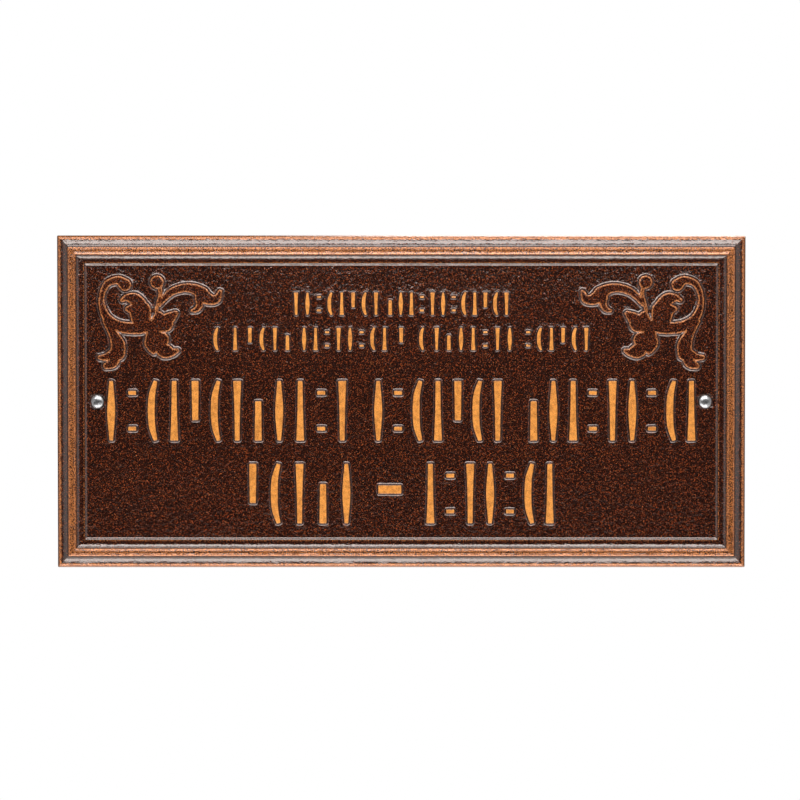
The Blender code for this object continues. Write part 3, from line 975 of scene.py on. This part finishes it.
@dataclass(frozen=True)
class AntiqueCopper:
    """Dark powder coat with copper flecks, rubbed through along the edges, and painted stroke tops."""

    ground: Colour = (0.016, 0.0026, 0.0008)
    shade: Colour = (0.004, 0.0008, 0.0003)
    fleck: Colour = (0.135, 0.026, 0.006)
    spark: Colour = (0.30, 0.095, 0.030)
    copper: Colour = (0.50, 0.172, 0.048)
    copper_deep: Colour = (0.10, 0.024, 0.006)
    paint: Colour = (0.63, 0.245, 0.042)
    paint_deep: Colour = (0.27, 0.085, 0.008)
    fleck_grain: float = 0.66
    dimple_grain: float = 2.6
    stain_grain: float = 16.0
    rim_rub: RubLine = RubLine(offset=-1.3, full=1.1, none=1.5, share=1.0)
    lip_rub: RubLine = RubLine(offset=0.75, full=0.40, none=0.85, share=1.0)
    inner_rub: RubLine = RubLine(offset=-0.35, full=0.35, none=0.85, share=0.8)
    step_rub: RubLine = RubLine(offset=0.15, full=0.10, none=0.45, share=0.45)
    band_fade: float = 0.4
    band_share: float = 0.55
    fleck_span: Point = (0.56, 0.68)
    spark_span: Point = (0.68, 0.76)
    shade_span: Point = (0.54, 0.42)
    copper_span: Point = (0.35, 0.65)
    grain_depth: float = 0.11

    def border_rub(self, graph: Graph, border: Border) -> Wire:
        """Return how far the moulding's edges are rubbed, from 0 to 1."""
        inset = graph.measured(Measure.INSET)
        half_band = border.band_width / 2
        band_rub = RubLine(0.0, half_band - self.band_fade, half_band, self.band_share)
        lines = (
            (border.cove_start, self.rim_rub),
            (border.band_start, self.lip_rub),
            (border.band_stop, self.inner_rub),
            ((border.band_start + border.band_stop) / 2, band_rub),
            (border.step_start, self.step_rub),
        )
        rubbed = None
        for edge, rub in lines:
            line = abs(inset - (edge + rub.offset)).above(rub.none, rub.full) * rub.share
            rubbed = line if rubbed is None else rubbed.highest(line)
        return rubbed

    def make(self, border: Border) -> bpy.types.Material:
        """Make the finish for a casting with that border."""
        graph = Graph("antique_copper_finish")
        flecks = graph.noise(self.fleck_grain, detail=1.5)
        pits = graph.noise(self.fleck_grain * 0.8, detail=1.0, shift=3.7)
        sparks = graph.noise(self.fleck_grain, detail=1.0, shift=7.9)
        dimples = graph.noise(self.dimple_grain, detail=1.5, shift=5.1)
        stain = graph.noise(self.stain_grain, detail=3.0, shift=1.3)
        stroke = graph.measured(Measure.STROKE)
        scroll = graph.measured(Measure.SCROLL)

        on_scroll = scroll.above(-0.1, 0.5)
        scroll_line = abs(scroll - 0.30).above(0.55, 0.22)
        rub = self.border_rub(graph, border).highest(scroll_line)
        breakup = (flecks * 0.75 + pits * 0.55 + stain * 0.3).above(0.62, 0.88)
        worn = (rub * 1.15 - (1 - breakup) * 0.55).above(0.05, 0.75)

        fleck_mask = (flecks + on_scroll * 0.03).above(*self.fleck_span)
        spark_mask = (sparks + on_scroll * 0.025).above(*self.spark_span)
        coat = graph.blend(pits.above(*self.shade_span), self.ground, self.shade)
        coat = graph.blend(fleck_mask, coat, self.fleck)
        coat = graph.blend(spark_mask, coat, self.spark)
        copper = graph.blend(flecks.above(*self.copper_span), self.copper_deep, self.copper)
        metal = graph.blend(worn, coat, copper)

        ragged = stroke + (flecks - 0.5) * 0.12
        painted = ragged.above(0.0, 0.1)
        paint = graph.blend(dimples.above(0.35, 0.60) * 0.45 + flecks.above(0.36, 0.60) * 0.55,
                            self.paint_deep, self.paint)
        colour = graph.blend(painted, metal, paint)

        bare = 1 - painted
        roughness = 0.15 + painted * 0.14 + worn * bare * 0.08 + (pits - 0.5) * 0.12
        metallic = worn * bare * 0.35
        grain = dimples * 2.6 + flecks * 0.9 + pits * 0.4
        height = grain * (1 - painted * 0.75)
        return graph.finish({
            "Base Color": colour, "Roughness": roughness, "Metallic": metallic,
            "Normal": graph.bump(height, self.grain_depth),
            "IOR": 1.6, "Specular IOR Level": 1.0, "Specular Tint": (1.0, 0.88, 0.82, 1.0),
        })


@dataclass(frozen=True)
class CastBack:
    """The back of the casting: sand-cast metal under thin brown overspray."""

    metal: Colour = (0.23, 0.215, 0.20)
    overspray: Colour = (0.050, 0.020, 0.012)
    sand_grain: float = 0.9
    mist_grain: float = 42.0

    def make(self) -> bpy.types.Material:
        """Make the finish."""
        graph = Graph("cast_back_finish")
        sand = graph.noise(self.sand_grain, detail=3.0)
        mist = graph.noise(self.mist_grain, detail=4.0, shift=2.1)
        cover = (mist + (sand - 0.5) * 0.5).above(0.60, 0.42)
        colour = graph.blend(cover * 0.9, self.metal, self.overspray)
        return graph.finish({
            "Base Color": colour, "Roughness": 0.55 + (sand - 0.5) * 0.3, "Metallic": (1 - cover) * 0.7,
            "Normal": graph.bump(sand, 0.14),
        })


@dataclass(frozen=True)
class ScrewSteel:
    """Zinc-bright steel with turning marks."""

    bright: Colour = (0.50, 0.50, 0.51)
    dull: Colour = (0.26, 0.255, 0.25)
    grain: float = 0.8

    def make(self) -> bpy.types.Material:
        """Make the finish."""
        graph = Graph("screw_steel_finish")
        tarnish = graph.noise(self.grain, detail=3.0)
        turning = graph.noise(self.grain, detail=1.0, stretch=(1.0, 9.0, 1.0), shift=0.9)
        colour = graph.blend(tarnish.above(0.40, 0.66), self.dull, self.bright)
        return graph.finish({
            "Base Color": colour, "Roughness": 0.26 + tarnish * 0.14, "Metallic": 1.0,
            "Normal": graph.bump(turning, 0.015),
        })


@dataclass
class Casting:
    """The plaque: its moulded border, field, strokes and leaf scrolls in one skin, with two screw holes."""

    length: float
    height: float
    screw_places: tuple[float, ...]
    border: Border = field(default_factory=Border)
    hole_radius: float = 2.5
    hole_segments: int = 32
    field_spacing: float = 3.4
    back_spacing: float = 16.0
    scroll_side_margin: float = 4.2
    scroll_top_margin: float = 4.1
    scroll_row_gap: float = 6.2
    scroll_box_height: float = 97.0

    @property
    def field_half_length(self) -> float:
        """Half the field's length."""
        return self.length / 2 - self.border.width

    @property
    def field_half_height(self) -> float:
        """Half the field's height."""
        return self.height / 2 - self.border.width

    def inscription(self) -> Inscription:
        """Return the rows of strokes that fit the field."""
        return Inscription(self.field_half_length, self.field_half_height, self.border.field_height)

    def scroll(self, inscription: Inscription) -> LeafScroll:
        """Return the leaf scroll that fits above the third row."""
        third_top = inscription.row_bottoms()[2] + inscription.large_height
        top = self.field_half_height - self.scroll_top_margin
        scale = (top - third_top - self.scroll_row_gap) / self.scroll_box_height
        outer = self.field_half_length - self.scroll_side_margin
        return LeafScroll(outer, top, scale, self.border.field_height)

    def clear_places(self, skin: Skin, feet: Sequence[np.ndarray], scroll: LeafScroll) -> np.ndarray:
        """Return the grid of places on the bare field, clear of whatever stands on it."""
        clearance = 1.3
        edge = self.border.margin + clearance
        grid = grid_places(self.field_half_length - edge, self.field_half_height - edge, self.field_spacing)
        keep = np.ones(len(grid), bool)
        known = np.concatenate(skin.places)
        for ring in feet:
            low = known[ring].min(axis=0) - clearance
            high = known[ring].max(axis=0) + clearance
            keep &= ~np.all((grid > low) & (grid < high), axis=1)
        mirrored = np.stack((-np.abs(grid[:, 0]), grid[:, 1]), axis=1)
        keep &= scroll.distance(mirrored) > scroll.edge.draft + clearance
        for across in self.screw_places:
            keep &= np.hypot(grid[:, 0] - across, grid[:, 1]) > self.hole_radius + clearance
        return grid[keep]

    def build(self) -> bpy.types.Object:
        """Build the casting."""
        skin = Skin()
        back_edge, field_edge = self.border.build(skin, self.length, self.height)
        inscription = self.inscription()
        feet = inscription.build(skin)
        scroll = self.scroll(inscription)
        scroll_vertices = scroll.build(skin)
        level = self.border.field_height
        front_holes, back_holes = [], []
        for across in self.screw_places:
            rim = circle((across, 0.0), self.hole_radius, self.hole_segments)
            front_holes.append(skin.add(rim, level))
            back_holes.append(skin.add(rim, 0.0))
            skin.bridge(front_holes[-1], back_holes[-1])
        bare = skin.add(self.clear_places(skin, feet, scroll), level)
        skin.fill([field_edge, *feet, *front_holes], np.concatenate((scroll_vertices, bare)))
        inner = grid_places(self.length / 2 - self.back_spacing, self.height / 2 - self.back_spacing,
                            self.back_spacing)
        behind = np.all([np.hypot(inner[:, 0] - across, inner[:, 1]) > 2 * self.hole_radius
                         for across in self.screw_places], axis=0)
        skin.fill([back_edge, *back_holes], skin.add(inner[behind], 0.0), finish=1)
        made = skin.to_object("cast_plaque", Waver(), (AntiqueCopper().make(self.border), CastBack().make()))
        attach(made, ROOT_BODY)
        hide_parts("plaque")
        return made


@dataclass
class PanScrew:
    """A pan-head wood screw with a cross recess, its shank in the wall."""

    node: str
    twist: float
    head_edge: float = 0.9
    head_height: float = 2.6
    thread_pitch: float = 1.7
    thread_depth: float = 0.42
    neck: float = 3.0
    point_length: float = 6.0
    shank_radius: float = 2.1
    segments: int = 40
    recess_length: float = 4.6
    recess_width: float = 1.05
    recess_depth: float = 1.5
    recess_floor_share: float = 0.45
    recess_narrowing: float = 0.7
    run_out: float = 1.5
    least_core: float = 0.4
    sharp_angle: float = 40.0

    def section(self, head_radius: float, length: float) -> list[tuple[float, float, float]]:
        """Return the turned section as (radius, height above the seat, thread depth), from the crown down."""
        crown_spans = 14
        chamfer = 0.15
        spans_per_turn = 8
        crown = self.head_height - self.head_edge
        line = []
        for step in range(1, crown_spans + 1):
            turn = math.pi / 2 * step / crown_spans
            line.append((head_radius * math.sin(turn), self.head_edge + crown * math.cos(turn), 0.0))
        line += [(head_radius, chamfer, 0.0), (head_radius - chamfer, 0.0, 0.0), (self.shank_radius, 0.0, 0.0)]
        line.append((self.shank_radius, -self.neck, 0.0))
        spans = round((length - self.neck) / self.thread_pitch * spans_per_turn)
        for step in range(1, spans):
            level = -self.neck - (length - self.neck) * step / spans
            left = length + level
            taper = min(1.0, left / self.point_length)
            line.append((self.shank_radius * taper, level, self.thread_depth * min(1.0, taper * self.run_out)))
        return line

    def build(self, steel: bpy.types.Material) -> bpy.types.Object:
        """Build the screw where its solid is."""
        low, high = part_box(self.node)
        centre = (low + high) / 2 / MM
        head_radius = (high.x - low.x) / 2 / MM
        seat = -low.y / MM - self.head_height
        length = seat + high.y / MM
        bm = bmesh.new()
        crown = bm.verts.new((0.0, 0.0, self.head_height))
        tip = bm.verts.new((0.0, 0.0, -length))
        rings = []
        for radius, level, depth in self.section(head_radius, length):
            ring = []
            for index in range(self.segments):
                turn = index / self.segments
                phase = (level / self.thread_pitch + turn) % 1.0
                cut = depth * abs(2 * phase - 1)
                reach = max(radius - cut, radius * self.least_core)
                angle = 2 * math.pi * turn
                ring.append(bm.verts.new((reach * math.cos(angle), reach * math.sin(angle), level)))
            rings.append(ring)
        for index in range(self.segments):
            following = (index + 1) % self.segments
            bm.faces.new((crown, rings[0][index], rings[0][following]))
            bm.faces.new((tip, rings[-1][following], rings[-1][index]))
            for upper, lower in zip(rings, rings[1:]):
                bm.faces.new((upper[index], lower[index], lower[following], upper[following]))
        bmesh.ops.recalc_face_normals(bm, faces=bm.faces)
        made = self.cut_recess(link_object(f"{self.node}_blank", take_mesh(self.node, bm)))
        turn = Matrix.Rotation(math.radians(90), 4, "X")
        made.data.transform(Matrix.Translation(Vector((centre.x, -seat, centre.z)) * MM) @ turn
                            @ Matrix.Rotation(math.radians(self.twist), 4, "Z") @ Matrix.Scale(MM, 4))
        made.data.materials.clear()
        made.data.materials.append(steel)
        made.data.shade_smooth()
        made.data.set_sharp_from_angle(angle=math.radians(self.sharp_angle))
        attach(made, ROOT_BODY)
        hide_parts(self.node)
        return made

    def cut_recess(self, blank: bpy.types.Object) -> bpy.types.Object:
        """Cut the cross recess and return the finished screw, with the blank and the cutters gone."""
        above = 1.0
        cutters = []
        for index in range(2):
            bm = bmesh.new()
            size = Matrix.Diagonal((self.recess_length, self.recess_width, self.recess_depth + above, 1.0))
            bmesh.ops.create_cube(bm, size=1.0, matrix=size)
            for vert in bm.verts:
                if vert.co.z < 0:
                    vert.co.x *= self.recess_floor_share
                    vert.co.y *= self.recess_narrowing
            middle = self.head_height - self.recess_depth + (self.recess_depth + above) / 2
            place = Matrix.Rotation(math.radians(90 * index), 4, "Z") @ Matrix.Translation((0, 0, middle))
            bmesh.ops.transform(bm, matrix=place, verts=bm.verts)
            cutter = link_object("recess_cutter", take_mesh("recess_cutter", bm))
            cut = blank.modifiers.new("Recess", "BOOLEAN")
            cut.operation = "DIFFERENCE"
            cut.solver = "EXACT"
            cut.object = cutter
            cutters.append(cutter)
        evaluated = blank.evaluated_get(bpy.context.evaluated_depsgraph_get())
        made = link_object(f"{self.node}_turned", bpy.data.meshes.new_from_object(evaluated))
        for spare in (blank, *cutters):
            bpy.data.objects.remove(spare)
        return made


@dataclass
class Studio:
    """The camera, the soft lights, the white surround and the pale floor, in metres."""

    distance: float = 1.5
    pitch: float = 1.3
    frame_width: float = 0.4732
    sensor: float = 36.0
    aim: tuple[float, float] = (-0.00077, 0.00089)
    floor_level: float = -0.75
    floor_radius: float = 2.6
    floor_glow: float = 0.38
    floor_grain: float = 220.0
    floor_low: Colour = (0.80, 0.80, 0.79)
    floor_high: Colour = (0.84, 0.84, 0.83)
    surround: float = 0.02

    # Each light's name, place, size and power
    lights: tuple[tuple[str, Colour, Point, float], ...] = (
        ("top_softbox", (0.0, -0.54, 0.48), (0.95, 0.46), 8.0),
        ("lower_softbox", (0.0, -0.44, -0.56), (0.95, 0.46), 5.8),
        ("overhead", (0.0, -0.05, 1.4), (1.6, 0.8), 14.0),
        ("back_fill", (0.5, 1.3, 0.7), (1.2, 0.8), 12.0),
        ("left_fill", (-1.15, -0.42, 0.1), (1.5, 1.4), 4.2),
        ("right_fill", (1.15, -0.42, 0.1), (1.5, 1.4), 4.2),
    )

    def add_camera(self) -> None:
        """Add the camera at the photograph's angle."""
        data = bpy.data.cameras.new("camera")
        data.sensor_width = self.sensor
        data.lens = self.sensor * self.distance / self.frame_width
        camera = link_object("camera", data)
        pitch = math.radians(self.pitch)
        target = Vector((self.aim[0], 0.0, self.aim[1]))
        camera.location = target + Vector((0.0, -math.cos(pitch), math.sin(pitch))) * self.distance
        camera.rotation_euler = (math.radians(90) - pitch, 0.0, 0.0)
        bpy.context.scene.camera = camera

    def add_light(self, name: str, place: Sequence[float], size: Point, power: float) -> None:
        """Add a soft light that faces the plaque.

        Args:
            name: the light's name.
            place: where it stands, in metres.
            size: its width and height.
            power: its power in watts.
        """
        data = bpy.data.lights.new(name, "AREA")
        data.shape = "RECTANGLE"
        data.size, data.size_y = size
        data.energy = power
        light = link_object(name, data)
        light.location = place
        light.rotation_euler = (-Vector(place)).to_track_quat("-Z", "Y").to_euler()

    def add_floor(self) -> None:
        """Add the round pale floor, well below the plaque."""
        bm = bmesh.new()
        bmesh.ops.create_circle(bm, cap_ends=True, segments=96, radius=self.floor_radius)
        bmesh.ops.translate(bm, vec=(0.0, 0.0, self.floor_level), verts=bm.verts)
        mesh = take_mesh("floor", bm)
        graph = Graph("floor_paint")
        mottle = graph.noise(self.floor_grain)
        mesh.materials.append(graph.finish({
            "Base Color": graph.blend(mottle, self.floor_low, self.floor_high), "Roughness": 0.7,
            "Emission Color": (*self.floor_high, 1.0), "Emission Strength": self.floor_glow,
        }))
        floor = link_object("floor", mesh)

    def add_surround(self) -> None:
        """Make the world white to look at and dim as a light."""
        world = bpy.data.worlds.new("studio")
        world.use_nodes = True
        bpy.context.scene.world = world
        nodes, links = world.node_tree.nodes, world.node_tree.links
        nodes.clear()
        dim = nodes.new("ShaderNodeBackground")
        dim.inputs["Color"].default_value = (1.0, 0.97, 0.95, 1.0)
        dim.inputs["Strength"].default_value = self.surround
        white = nodes.new("ShaderNodeBackground")
        white.inputs["Color"].default_value = (1.0, 1.0, 1.0, 1.0)
        ray = nodes.new("ShaderNodeLightPath")
        choice = nodes.new("ShaderNodeMixShader")
        output = nodes.new("ShaderNodeOutputWorld")
        links.new(ray.outputs["Is Camera Ray"], choice.inputs["Fac"])
        links.new(dim.outputs[0], choice.inputs[1])
        links.new(white.outputs[0], choice.inputs[2])
        links.new(choice.outputs[0], output.inputs["Surface"])

    def build(self) -> None:
        """Set up the studio."""
        self.add_camera()
        self.add_surround()
        self.add_floor()
        for light in self.lights:
            self.add_light(*light)
        bpy.context.scene.view_settings.view_transform = "Standard"


def report(piece: bpy.types.Object) -> None:
    """Log a piece's name and how many faces it has."""
    log.info("%s: %d faces", piece.name, len(piece.data.polygons))


def main() -> None:
    """Build the plaque, its screws and the studio."""
    logging.basicConfig(level=logging.INFO, format="%(name)s: %(message)s")
    low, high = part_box("plaque")
    screws = (PanScrew("screw_left", twist=20.0), PanScrew("screw_right", twist=62.0))
    places = []
    for screw in screws:
        start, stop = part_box(screw.node)
        places.append((start.x + stop.x) / 2 / MM)
    report(Casting((high.x - low.x) / MM, (high.z - low.z) / MM, tuple(places)).build())
    steel = ScrewSteel().make()
    for screw in screws:
        report(screw.build(steel))
    Studio().build()


if __name__ == "__main__":
    main()
